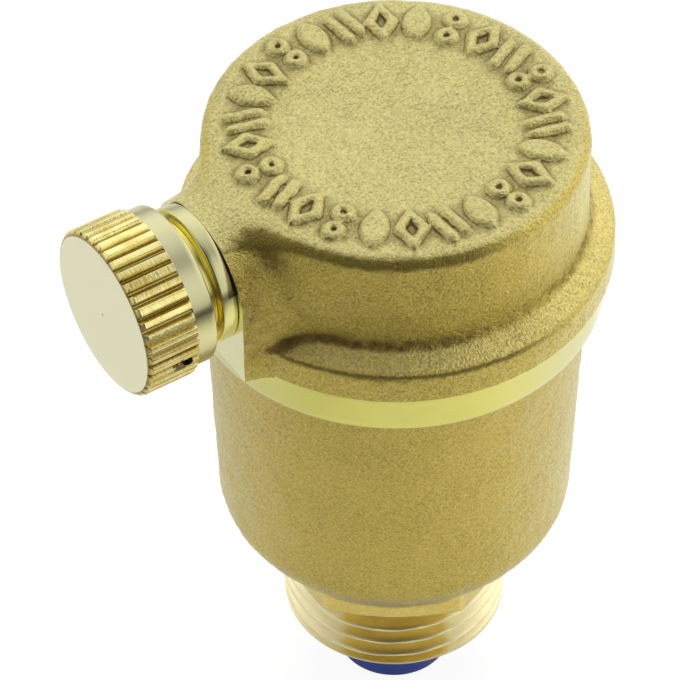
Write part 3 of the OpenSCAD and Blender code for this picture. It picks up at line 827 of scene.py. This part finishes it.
def build_body():
    nu = 432
    th = np.linspace(0, 2 * PI, nu, endpoint=False)
    rows = []          # (radius array, height array, tag)

    def add(r, z, tag):
        rows.append((np.broadcast_to(np.asarray(r, float), (nu,)).copy(),
                     np.broadcast_to(np.asarray(z, float), (nu,)).copy(), tag))
    cz, cr = corner_curve()
    root = THREAD_R - 1.162
    # end face
    for r in (8.75, 9.1, 9.5, 9.9):
        add(r, 0.0, 1)
    # thread
    zs = np.arange(0.0, 7.36, 0.115)
    for z in zs:
        env = float(np.clip((7.3 - z) / 0.9, 0, 1))
        h = thread_height(z, th, PITCH, 1.45 - PITCH * 0.6592)
        r = root + (THREAD_R - root) * h * env
        land = float(np.interp(z, [0, 0.14, 0.38, 0.75], [THREAD_R - 0.16, THREAD_R - 0.03, THREAD_R - 0.03, root]))
        add(np.maximum(r, land) if z < 0.75 else r, z, 1)
    add(root, 7.45, 1)
    add(root, THREAD_LEN - 0.02, 1)
    # wrench hexagon under the cup
    flat_ang = np.abs((th - math.radians(HEX_TURN) + PI / 6) % (PI / 3) - PI / 6)   # angle from the nearest flat
    hexr = smin(HEX_FLAT / np.cos(flat_ang), np.full(nu, 12.66), 0.12)

    def hex_at(z):
        cone = HEX_FLAT - 0.03 + max(0.0, z - THREAD_LEN) * 1.70
        return smin(hexr, np.full(nu, cone), 0.06)
    for t in (0.33, 0.66, 0.97):
        add(root + (hex_at(THREAD_LEN) - root) * t, THREAD_LEN, 2)
    fade0, fade1 = 8.3, 9.4
    for z in np.concatenate([np.arange(THREAD_LEN + 0.05, 13.4, 0.13), np.arange(13.4, 41.75, 0.25)]):
        rb = np.interp(z, cz, cr) if z < 17.35 else 16.4 + (17.2 - 16.4) * (z - 17.35) / (42 - 17.35)
        if z < 13.4:
            r = smax(hex_at(z), np.full(nu, rb), 0.35)
        else:
            r = np.full(nu, rb)
        p = np.stack([r * np.cos(th), r * np.sin(th), np.full(nu, z)], -1)
        w = float(np.clip((z - fade0) / (fade1 - fade0), 0, 1)) * float(np.clip((41.8 - z) / 0.6, 0, 1))
        add(r + cast_noise(p) * w, z, 2)
    # undercut and collar
    for r, z in refine(rounded([(17.19, 41.8), (17.2, COLLAR_TOP - 4), (COLLAR_R, COLLAR_TOP - 4), (COLLAR_R, COLLAR_TOP),
                                (17.9, COLLAR_TOP), (17.9, COLLAR_TOP - 1.1), (16.7, COLLAR_TOP - 1.1),
                                (16.7, COLLAR_TOP), (15.95, COLLAR_TOP), (15.95, 39.6)],
                               [0, 0.15, 0.16, 0.22, 0.08, 0.1, 0.1, 0.08, 0.12, 0], 4, closed=False), 0.8)[1:]:
        add(r, z, 1)
    # inside
    for r, z in refine(rounded([(15.95, 39.6), (14.3, 39.6), (14.3, 18), (13.3, 15.9), (9.2, 11.4), (8.0, 11.4), (8.0, 0.6), (8.6, 0.0)],
                               [0.05, 0.2, 1.5, 0.8, 0.8, 0.3, 0.1, 0], 4, closed=False), 1.2):
        add(r, z, 3)
    R = np.stack([r for r, _, _ in rows], 1)
    Z = np.stack([z for _, z, _ in rows], 1)
    pts = np.stack([R * np.cos(th)[:, None], R * np.sin(th)[:, None], Z], -1)
    ob = grid_object("vent_body", pts)
    c, nr = face_data(ob)
    rho = np.hypot(c[:, 0], c[:, 1])
    idx = np.zeros(len(c), int)
    outer_cast = (c[:, 2] > 8.35) & (c[:, 2] < 41.75) & (rho > 9.6)
    inner = (c[:, 2] > 11) & (rho < 14.6) & (c[:, 2] < 39.65) & ~((c[:, 2] > 8.35) & (rho > 14.35 + 0 * rho) & (c[:, 2] > 17))
    idx[:] = 1
    idx[(c[:, 2] < THREAD_LEN + 0.01)] = 2
    idx[outer_cast] = 0
    idx[(c[:, 2] > THREAD_LEN + 0.02) & (c[:, 2] < 8.5) & (rho > 9.6)] = 0
    cup = np.interp(c[:, 2], *corner_curve())
    idx[(idx == 0) & (c[:, 2] < 11.5) & (rho > cup + 0.12)] = 3
    inside = (rho < np.interp(c[:, 2], [11.3, 15.9, 18, 39.7], [9.3, 13.4, 14.35, 14.35])) & (c[:, 2] > 11.3)
    idx[inside] = 1
    set_mats(ob, [M_BODY, M_TURN_Z, M_THREAD, M_HEX], idx)
    shade(ob, 38)
    bend_attribute(ob, 30, 0.22)
    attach(ob, "root")
    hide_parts("body")
    return ob


# ------------------------------------------------------------------ cover
def mark_field(x, y):
    """Signed distance in the plane to the ring of plain cast marks, in mm."""
    n = 26
    ang = np.arctan2(y, x)
    rho = np.hypot(x, y)
    sector = np.floor((ang / (2 * PI) * n) % n).astype(int)
    a0 = (sector + 0.5) * 2 * PI / n
    u = rho * np.cos(ang - a0) - 13.05          # along the radius
    v = rho * np.sin(ang - a0)                  # round the ring
    kind = np.array([0, 1, 2, 3, 1, 0, 3, 2, 1, 3, 0, 1, 2])[sector % 13]

    def lozenge(a, b):
        return (np.abs(u) / a + np.abs(v) / b - 1) / math.hypot(1 / a, 1 / b)
    # two slanted bars with round ends
    s, c = math.sin(math.radians(20)), math.cos(math.radians(20))
    p, q = u * c + v * s, -u * s + v * c
    d_bars = np.hypot(np.maximum(np.abs(p) - 1.45, 0), np.abs(q) - 0.72) - 0.45
    # open lozenge
    d_open = np.maximum(lozenge(2.35, 1.55), -lozenge(1.15, 0.62))
    # pair of pips, each with a dimple
    d_pips = np.minimum(np.hypot(u - 1.12, v), np.hypot(u + 1.12, v)) - 0.98
    d_pips = np.maximum(d_pips, 0.30 - np.minimum(np.hypot(u - 1.12, v), np.hypot(u + 1.12, v)))
    # leaf
    d_leaf = np.maximum(np.hypot(u, v - 1.35), np.hypot(u, v + 1.35)) - 2.5
    return np.where(kind == 0, d_bars, np.where(kind == 1, d_open, np.where(kind == 2, d_pips, d_leaf)))


def cover_tone(ob):
    """Per vertex: where the cover is stained, with painted shade in the wall-shoulder corner, a painted highlight on
    the shoulder, and painted shade where its top edge and lower rim face the viewer.
    """
    me = ob.data
    co, _ = read_mesh(ob)
    x, y, z = co.T
    rho = np.hypot(x, y)
    v = -x

    def near(p, q, r0, r1):
        """1 on the segment p-q, fading out over the radius r0 at p and r1 at q."""
        p, q = np.array(p), np.array(q)
        t = np.clip(((co - p) @ (q - p)) / ((q - p) @ (q - p)), 0, 1)
        d = np.linalg.norm(co - p - t[:, None] * (q - p), axis=1)
        return np.exp(-(d / (r0 + (r1 - r0) * t)) ** 2)
    stain = 0.95 * near((-17.5, -4.6, 60.0), (-16.6, -6.4, 58.4), 1.5, 1.3)
    stain = np.maximum(stain, 0.50 * near((-19.6, -6.0, 57.0), (-19.2, -7.6, 49.5), 2.6, 2.6))
    stain = np.maximum(stain, 0.45 * near((-16.4, -6.8, 58.0), (-15.3, -8.8, 53.0), 1.4, 1.0))
    stain = np.maximum(stain, near((-18.2, -7.65, 49.3), (-16.6, -8.3, 49.9), 0.55, 0.80))
    stain = np.maximum(stain, 0.7 * near((-16.6, -8.3, 49.9), (-13.8, -9.9, 50.1), 0.75, 0.45))
    # painted shade in the corner between dome wall and shoulder, heavier at the front left
    az = math.radians(-32.7)
    side = (x * math.cos(az) + y * math.sin(az)) / np.maximum(rho, 1)
    ahead = (x * math.sin(az) - y * math.cos(az)) / np.maximum(rho, 1)
    corner = np.interp(z, [49.9, 50.15, 50.55, 51.6], [0, 1, 1, 0]) * np.clip(1 - np.abs(rho - DOME_R - 0.1) / 0.6, 0, 1) ** 0.5
    stain = np.maximum(stain, corner * np.interp(side, [-0.85, -0.6, 0.15, 0.75], [0, 1.05, 0.95, 0.0]) * (ahead > 0))
    # painted highlight on the shoulder slope
    slope = np.abs((rho - 19.0) * 0.507 + (z - 49.57) * 0.862)
    ledge_highlight = np.clip(1 - slope / 0.25, 0, 1) * np.clip((rho - 17.35) / 0.4, 0, 1) * np.clip((RIM_R - 0.15 - rho) / 0.3, 0, 1)
    nr = np.zeros(len(me.vertices) * 3)
    me.vertices.foreach_get("normal", nr)
    nr = nr.reshape(-1, 3)
    # painted shade on the rounded top edge and the lower rim where they face the viewer, fading out to the right
    ahead = (nr[:, 0] * math.sin(az) - nr[:, 1] * math.cos(az))
    roll = np.interp(nr[:, 2], [0.15, 0.40, 0.80, 0.93], [0, 1, 1, 0]) * np.clip((ahead - 0.25) / 0.3, 0, 1)
    roll *= ((z > TOP_Z - 1.6) & (rho > 15.2)) * np.clip((0.66 - side) / 0.30, 0, 1)
    low = np.interp(nr[:, 2], [0.05, 0.25, 0.70, 0.84], [0, 1, 1, 0]) * np.clip((ahead - 0.1) / 0.3, 0, 1)
    low *= ((z < 49.3) & (z > 47.0) & (rho > RIM_R - 0.9) & (v < 17.5)) * np.clip((0.80 - side) / 0.30, 0, 1)
    roll = np.maximum(roll, low)
    for name, val in (("tarnish_and_corner_shade", stain), ("ledge_highlight", ledge_highlight), ("front_edge_shade", roll)):
        at = me.attributes.new(name, "FLOAT", "POINT")
        at.data.foreach_set("value", val.astype(np.float32))


def build_cover():
    h = 0.2
    lo = np.array([-BOSS_X - 1.2, -RIM_R - 0.9, RIM_Z - 1.3])
    hi = np.array([RIM_R + 0.9, RIM_R + 0.9, MARK_TOP + 0.8])
    n = np.ceil((hi - lo) / h).astype(int) + 1
    xs, ys, zs = [lo[i] + h * np.arange(n[i]) for i in range(3)]
    X, Y, Z = np.meshgrid(xs, ys, zs, indexing="ij")
    rho = np.sqrt(X * X + Y * Y)
    # dome wall, faint draft
    wall = rho - DOME_R - (51 - Z) * 0.006
    # boss: D-shaped, wider towards the dome
    V = -X
    w = 6.9 + (BOSS_X - V) * np.interp(Z, [51.0, 57.5], [0.33, 0.10])
    d_b = (np.sqrt(Y * Y + (np.maximum(Z - VENT_Z, 0) * 1.10) ** 2) - w) * 0.92
    d_b = np.maximum(d_b, V - (BOSS_X + 0.9))
    d_b = np.maximum(d_b, 2 - V)
    k = np.interp(Z, [47.5, 49.8, 52.0, 56], [0.9, 1.3, 2.6, 3.2])
    side = smin(wall, d_b, k)
    # one flat top with a rounded edge over both
    rr = 1.35
    qx, qz = side + rr, Z - (TOP_Z - rr)
    f = np.sqrt(np.maximum(qx, 0) ** 2 + np.maximum(qz, 0) ** 2) + np.minimum(np.maximum(qx, qz), 0) - rr
    # sloped shoulder over the rim
    slope = (rho - 19.0) * 0.507 + (Z - 49.57) * 0.862
    rim = smax(slope, rho - (RIM_R - 0.05), 0.45)
    f = smin(f, rim, 0.6)
    del wall, rim, side, d_b, slope, qx, qz, k, w
    # raised marks on the top
    top = Z > TOP_Z - 1.5
    m2 = mark_field(X[:, :, 0], Y[:, :, 0])[:, :, None]
    md = smax(np.broadcast_to(m2 - 0.10, Z.shape)[top], (Z - (MARK_TOP - 0.02))[top], 0.55)
    f[top] = smin(f[top], md, 0.36)
    # cast unevenness near the surface
    near = np.abs(f) < 0.5
    P = np.stack([X[near], Y[near], Z[near]], -1)
    f[near] += cast_noise(P) * 1.0
    del P, near
    f = np.maximum(f, RIM_Z - 0.9 - Z)               # closed below; the underside is cut flat later
    verts, quads = surface_nets(f, lo, h)
    verts = relax(verts, quads, 2, 0.35)
    out = np.maximum(np.hypot(verts[:, 0], verts[:, 1]) / (RIM_R - 0.01), 1)
    out = np.where(verts[:, 0] < -15, 1, out)[:, None]
    verts[:, :2] /= out
    ob = fix_normals(make_mesh("vent_cover", verts, quads))
    # machining: underside, boss face, rim chamfer, spigot, inside, bores
    boolean(ob, box_object("c1", (-40, -40, 30), (40, 40, RIM_Z)), "DIFFERENCE")
    boolean(ob, box_object("c2", (-40, -40, 30), (-BOSS_X, 40, 80)), "DIFFERENCE")
    phi = math.asin(7.7 / RIM_R) + 0.01
    boolean(ob, part_lathe("c3", [(19.1, RIM_Z - 0.5), (20.6, RIM_Z - 0.5), (20.6, RIM_Z + 1.35), (RIM_R - 0.28, RIM_Z)][:4],
                           -PI + phi, PI - phi, 240), "DIFFERENCE")
    boolean(ob, lathe("c4", [(0, 40.1), (15.5, 40.1), (15.9, 40.5), (15.9, 47), (0, 47)], 192, poles=True), "UNION")
    boolean(ob, lathe("c5", [(0, 39)] + rounded([(14.4, 39), (14.4, TOP_Z - 3), (0, TOP_Z - 3)], [0, 1.0, 0], 6, closed=False)[0:], 160, poles=True),
            "DIFFERENCE")
    boolean(ob, rod("c6", 4.91, 12, 24, 96, place=to_vent), "DIFFERENCE")
    boolean(ob, rod("c7", 5.9, BOSS_X - 0.85, 24, 96, place=to_vent), "DIFFERENCE")
    for s in (-1, 1):
        boolean(ob, rod("c8", 1.02, TOP_Z - 4, TOP_Z - 0.7, 32, place=lambda p, s=s: p + np.array([-3.4, 2.3 * s, 0])), "DIFFERENCE")
    c, nr = face_data(ob)
    rr_ = np.hypot(c[:, 0], c[:, 1])
    rv = np.hypot(c[:, 1], c[:, 2] - VENT_Z)
    mach_z = (c[:, 2] < RIM_Z + 0.02) | ((rr_ < 14.45) & (c[:, 2] < TOP_Z - 2.98)) | \
        ((rr_ > RIM_R - 0.45) & (c[:, 2] < RIM_Z + 0.36) & (nr[:, 2] < -0.45) & (c[:, 0] > -18.2))
    mach_x = (c[:, 0] < -BOSS_X + 0.01) | ((rv < 5.95) & (c[:, 0] < -14) & (c[:, 2] < TOP_Z - 1))
    idx = np.zeros(len(c), int)
    idx[mach_z] = 1
    idx[mach_x] = 2
    set_mats(ob, [M_COVER, M_TURN_Z, M_FACE], idx)
    shade(ob, 40)
    bend_attribute(ob, 16, 0.15)
    cover_tone(ob)
    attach(ob, "root")
    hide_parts("cover")
    return ob


# ------------------------------------------------------------------ nozzle
def build_nozzle():
    prof = [(1.8, 12.9), (3.2, 12.9), (3.2, 14.4), (4.6, 14.4), (4.86, 14.65), (4.86, BOSS_X + 0.02),
            (6.3, BOSS_X + 0.02), (6.3, COLLAR_END), (5.2, COLLAR_END), (5.2, 22.6), (4.3, 22.62)]
    a = refine(rounded(prof, [0.05, 0.15, 0.05, 0.05, 0.1, 0.0, 0.16, 0.2, 0.12, 0.1, 0], 4, closed=False), 0.5)
    zs = np.arange(22.7, NOZ_END - 0.05, 0.07)
    b = np.stack([np.full(len(zs), 4.3), zs], -1)
    c = refine(rounded([(4.3, NOZ_END), (1.8, NOZ_END), (1.8, 16.2), (2.21, 16.2), (2.21, 12.9)], [0.1, 0.15, 0, 0, 0.05], 3, closed=False), 0.6)
    prof = np.concatenate([a[1:], b, c[:-1]])

    def mod(th, r, z):
        on = (z > 22.65) & (z < NOZ_END - 0.03) & (r > 4.2) & (r < 4.4)
        env = np.clip((z - 22.65) / 0.3, 0, 1) * np.clip((NOZ_END - z) / 0.5, 0, 1)
        r = np.where(on, 4.3 + 0.55 * thread_height(z, th, 1.0) * env, r)
        return r, z
    ob = lathe("outlet_nozzle", prof, 192, place=to_vent, mod=mod)
    c, nr = face_data(ob)
    rv = np.hypot(c[:, 1], c[:, 2] - VENT_Z)
    idx = np.where((-c[:, 0] > COLLAR_END - 0.07) & (rv > 2.5), 1, 0)
    idx[(rv > 6.0) & (idx == 0) & (-c[:, 0] > BOSS_X)] = 2
    set_mats(ob, [M_NOZ, M_NECK, M_COLLAR], idx)
    shade(ob, 34)
    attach(ob, "root")
    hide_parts("vent_nozzle")
    return ob


# ------------------------------------------------------------------ cap
def build_cap():
    ribs, per = 40, 14
    nu = ribs * per
    KB = CAP_BACK + 2.1                      # rear end of the knurl
    kz = np.concatenate([np.linspace(FACE_X - 0.42, FACE_X - 0.8, 4), np.linspace(FACE_X - 1.1, KB + 0.6, 12),
                         np.linspace(KB + 0.45, KB + 0.02, 5)])
    face = [(0, FACE_X - 0.10), (0.12, FACE_X - 0.08), (0.22, FACE_X)] + \
           [(r, FACE_X) for r in np.linspace(0.6, CAP_R - 0.62, 9)] + \
           [(CAP_R - 0.46, FACE_X - 0.02), (CAP_R - 0.34, FACE_X - 0.08), (CAP_R - 0.2, FACE_X - 0.2), (CAP_R - 0.08, FACE_X - 0.32)]
    knurl = [(CAP_R, z) for z in kz]
    rear = [(CAP_R - 0.16, KB - 0.05), (CAP_R - 0.42, KB - 0.08), (7.33, KB - 0.08), (7.25, KB - 0.16)]
    rest = refine(rounded([(7.25, KB - 0.16), (7.25, CAP_BACK), (5.6, CAP_BACK), (5.6, CAP_BACK + 0.6), (4.9, CAP_BACK + 0.75)],
                          [0, 0.2, 0.12, 0.08, 0], 4, closed=False), 0.4)[1:]
    tz = np.arange(CAP_BACK + 0.8, 28.25, 0.09)
    bore = [(4.9, z) for z in tz] + [(4.9, 28.3), (4.0, 28.3), (2.0, 28.3), (0, 28.3)]
    prof = np.array(face + knurl + rear + [tuple(p) for p in rest] + bore)
    th = np.linspace(0, 2 * PI, nu, endpoint=False)[:, None]
    r = np.broadcast_to(prof[None, :, 0], (nu, len(prof))).copy()
    z = np.broadcast_to(prof[None, :, 1], (nu, len(prof))).copy()
    ph = (th * ribs / (2 * PI)) % 1.0
    rnd = np.random.RandomState(5)
    depth = 0.38 + 0.08 * rnd.rand(ribs)
    wide = 0.19 + 0.08 * rnd.rand(ribs)
    rib = np.floor(th * ribs / (2 * PI)).astype(int) % ribs
    # rib top flat, V-shaped groove between ribs
    g = np.clip((np.abs(ph - 0.5) - wide[rib]) / 0.19, 0, 1)
    cut = g * g * (3 - 2 * g) * 0.4 + g * 0.6
    kr = CAP_R - depth[rib] * cut - 0.03 * (np.abs(ph - 0.5) * 2) ** 2
    zone = (z < FACE_X - 0.01) & (z > KB - 0.07) & (r > CAP_R - 0.5)
    r = np.where(zone, np.minimum(r, np.broadcast_to(kr, r.shape)), r)
    pts = np.stack([r * np.cos(th), r * np.sin(th), z], -1)
    ob = grid_object("knurled_cap", pts, poles=True, place=to_vent)
    # bleed hole through the knurl
    a = math.radians(260)
    dirv = np.array([math.cos(a), math.sin(a), 0.0])
    side = np.array([-dirv[1], dirv[0], 0.0])
    up = np.array([0, 0, 1.0])

    def place(p):
        q = p[..., 2:3] * dirv + p[..., 0:1] * side + p[..., 1:2] * up + np.array([0, 0, KB + 1.1])
        return to_vent(q)
    boolean(ob, rod("c9", 0.5, 5.3, 9.5, 32, place=place), "DIFFERENCE")
    c, nr = face_data(ob)
    rv = np.hypot(c[:, 1], c[:, 2] - VENT_Z)
    x = -c[:, 0]
    idx = np.where((x > KB - 0.07) & (x < FACE_X - 0.03) & (rv > 7.2), 1, 0)
    idx[x < KB - 0.07] = 2
    set_mats(ob, [M_CAP, M_KNURL, M_BAND], idx)
    shade(ob, 34)
    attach(ob, "cap")
    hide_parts("vent_cap")
    return ob


# ------------------------------------------------------------------ float
def build_float():
    s = STEM_Z
    outer = [(0, s), (5.6, s), (5.6, 13.2), (8.6, 13.2), (12.2, 17.2), (FLOAT_R, 20), (FLOAT_R, 42.7), (12.4, 42.7)]
    inner = [(12.4, 20.4), (11.4, 17.7), (8.2, 14.2), (4.4, 14.2), (4.4, s + 1.2), (0, s + 1.2)]
    prof = refine(rounded(outer + inner, [0, 0.8, 0.5, 0.6, 1.5, 1.5, 0.2, 0.1, 1.2, 1.0, 0.5, 0.4, 0.6, 0], 5, closed=False), 1.5)
    ob = lathe("float_and_stem", prof, 128, poles=True)
    set_mats(ob, [M_BLUE])
    shade(ob, 34)
    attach(ob, "float")
    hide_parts("float_shell")
    return ob


build_body()
build_cover()
build_nozzle()
build_cap()
build_float()

for node, mat in {
        "cover_o_ring": M_RUBBER, "nozzle_o_ring": M_RUBBER, "cap_seal": M_RUBBER, "valve_seat": M_STEEL,
        "lever_bracket": M_STEEL, "bracket_screws": M_STEEL, "bracket_washers": M_STEEL, "lever_pin": M_STEEL,
        "pin_clips": M_STEEL, "lever": M_STEEL, "holder_rivet": M_STEEL, "float_hook": M_STEEL,
        "seal_holder": M_NOZ, "valve_pad": M_SILICONE, "float_lid": M_BLUE}.items():
    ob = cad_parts[node]
    ob.data.materials.clear()
    ob.data.materials.append(mat)

# ------------------------------------------------------------------ floor, light and camera
floor_m, nt, bsdf = nodes_of("floor")
n = noise(nt, coords(nt), 0.02, 2.0, 0.5)
pale = mixrgb(nt, n, (0.86, 0.855, 0.84), (0.90, 0.895, 0.88))
# painted shade: the floor's colour falls off towards the viewer, where the studio is dark, and darkens to the left
tcf = nt.nodes.new("ShaderNodeTexCoord")
dotf = nt.nodes.new("ShaderNodeVectorMath")
dotf.operation = "DOT_PRODUCT"
dotf.inputs[1].default_value = (math.sin(math.radians(-32.7)), -math.cos(math.radians(-32.7)), 0)
nt.links.new(tcf.outputs["Object"], dotf.inputs[0])
front_shade = maprange(nt, dotf.outputs["Value"], 0.03, 0.19, 0, 0.88, True)
dotl = nt.nodes.new("ShaderNodeVectorMath")
dotl.operation = "DOT_PRODUCT"
dotl.inputs[1].default_value = (-math.cos(math.radians(-32.7)), -math.sin(math.radians(-32.7)), 0)
nt.links.new(tcf.outputs["Object"], dotl.inputs[0])
left_shade = maprange(nt, dotl.outputs["Value"], 0.0, 0.06, 0, 0.30, True)
pale = mixrgb(nt, left_shade, pale, (0.10, 0.10, 0.095))
nt.links.new(mixrgb(nt, front_shade, pale, (0.05, 0.048, 0.04)), bsdf.inputs["Base Color"])
bsdf.inputs["Roughness"].default_value = 0.9
glow = nt.nodes.new("ShaderNodeEmission")
glow.inputs["Strength"].default_value = 1.08
lp = nt.nodes.new("ShaderNodeLightPath")
mx = nt.nodes.new("ShaderNodeMixShader")
nt.links.new(maprange(nt, lp.outputs["Is Camera Ray"], 0, 1, 0, 0.84), mx.inputs[0])
nt.links.new(bsdf.outputs[0], mx.inputs[1])
nt.links.new(glow.outputs[0], mx.inputs[2])
nt.links.new(mx.outputs[0], [q for q in nt.nodes if q.type == "OUTPUT_MATERIAL"][0].inputs[0])
floor = make_mesh("floor", [(-4000, -4000, STEM_Z - 0.1), (4000, -4000, STEM_Z - 0.1), (4000, 4000, STEM_Z - 0.1), (-4000, 4000, STEM_Z - 0.1)], [(0, 1, 2, 3)])
floor.data.materials.append(floor_m)

AZ, EL, DIST, ROLL = math.radians(-32.7), math.radians(46.28), 0.400, math.radians(0.46)
back = Vector((math.sin(AZ) * math.cos(EL), -math.cos(AZ) * math.cos(EL), math.sin(EL)))
right = Vector((math.cos(AZ), math.sin(AZ), 0))
up = back.cross(right)
target = right * (-4.99 * MM) + Vector((0, 0, 33.71 * MM))
r2 = right * math.cos(ROLL) - up * math.sin(ROLL)
u2 = right * math.sin(ROLL) + up * math.cos(ROLL)
cam_data = bpy.data.cameras.new("camera")
cam_data.sensor_width = 36
cam_data.lens = 4402.9 * 36 / 680
cam_data.clip_start = 0.01
cam_data.clip_end = 20
cam = bpy.data.objects.new("camera", cam_data)
bpy.context.scene.collection.objects.link(cam)
loc = target + back * DIST
cam.matrix_world = Matrix((
    (r2.x, u2.x, back.x, loc.x), (r2.y, u2.y, back.y, loc.y), (r2.z, u2.z, back.z, loc.z), (0, 0, 0, 1)))
bpy.context.scene.camera = cam


def area(name, az, el, dist, size, power, size_y=None, color=(1, 1, 1)):
    """A soft box round the object; az and el in the camera's terms, degrees."""
    a, e = math.radians(az), math.radians(el)
    d = Vector((math.sin(a) * math.cos(e), -math.cos(a) * math.cos(e), math.sin(e)))
    li = bpy.data.lights.new(name, "AREA")
    li.shape = "RECTANGLE"
    li.size = size
    li.size_y = size_y or size
    li.energy = power
    li.color = color
    ob = bpy.data.objects.new(name, li)
    bpy.context.scene.collection.objects.link(ob)
    ob.location = Vector((0, 0, 0.03)) + d * dist
    ob.rotation_euler = (-d).to_track_quat("-Z", "Y").to_euler()
    return ob


top_box = area("top_box", -32.7 + 180, 70, 0.6, 0.45, 2.6)
top_box.visible_glossy = False

world = bpy.data.worlds.new("studio")
bpy.context.scene.world = world
world.use_nodes = True
wn = world.node_tree
for q in list(wn.nodes):
    wn.nodes.remove(q)
wout = wn.nodes.new("ShaderNodeOutputWorld")
wtc = wn.nodes.new("ShaderNodeTexCoord")
fwd = Vector((back.x, back.y, 0)).normalized()         # towards the viewer, level
total = None
for vec, c0, c1, amount in (
        (Vector((0, 0, 1)), -1.0, -0.9, 0.065),                              # even fill
        (-fwd * 0.643 + Vector((0, 0, 0.766)), 0.50, 0.97, 0.92),           # high box behind
        (-right, 0.32, 0.80, 0.80),                                         # left box
        (right, 0.30, 0.78, 1.15),                                          # right box
        (-fwd, 0.30, 0.80, 0.30)):                                          # back wall
    dot = wn.nodes.new("ShaderNodeVectorMath")
    dot.operation = "DOT_PRODUCT"
    dot.inputs[1].default_value = vec
    wn.links.new(wtc.outputs["Generated"], dot.inputs[0])
    lobe = maprange(wn, dot.outputs["Value"], c0, c1, 0, amount, True)
    total = lobe if total is None else math_node(wn, "ADD", total, lobe)
soft = wn.nodes.new("ShaderNodeBackground")
soft.inputs[0].default_value = (1.0, 0.99, 0.965, 1)
wn.links.new(total, soft.inputs[1])
seen = wn.nodes.new("ShaderNodeBackground")
seen.inputs[0].default_value = (1, 1, 1, 1)
wlp = wn.nodes.new("ShaderNodeLightPath")
wmix = wn.nodes.new("ShaderNodeMixShader")
wn.links.new(wlp.outputs["Is Camera Ray"], wmix.inputs[0])
wn.links.new(soft.outputs[0], wmix.inputs[1])
wn.links.new(seen.outputs[0], wmix.inputs[2])
wn.links.new(wmix.outputs[0], wout.inputs[0])

sc = bpy.context.scene
sc.view_settings.view_transform = "Standard"
sc.view_settings.look = "None"
sc.view_settings.exposure = 0.0
sc.view_settings.gamma = 1.0
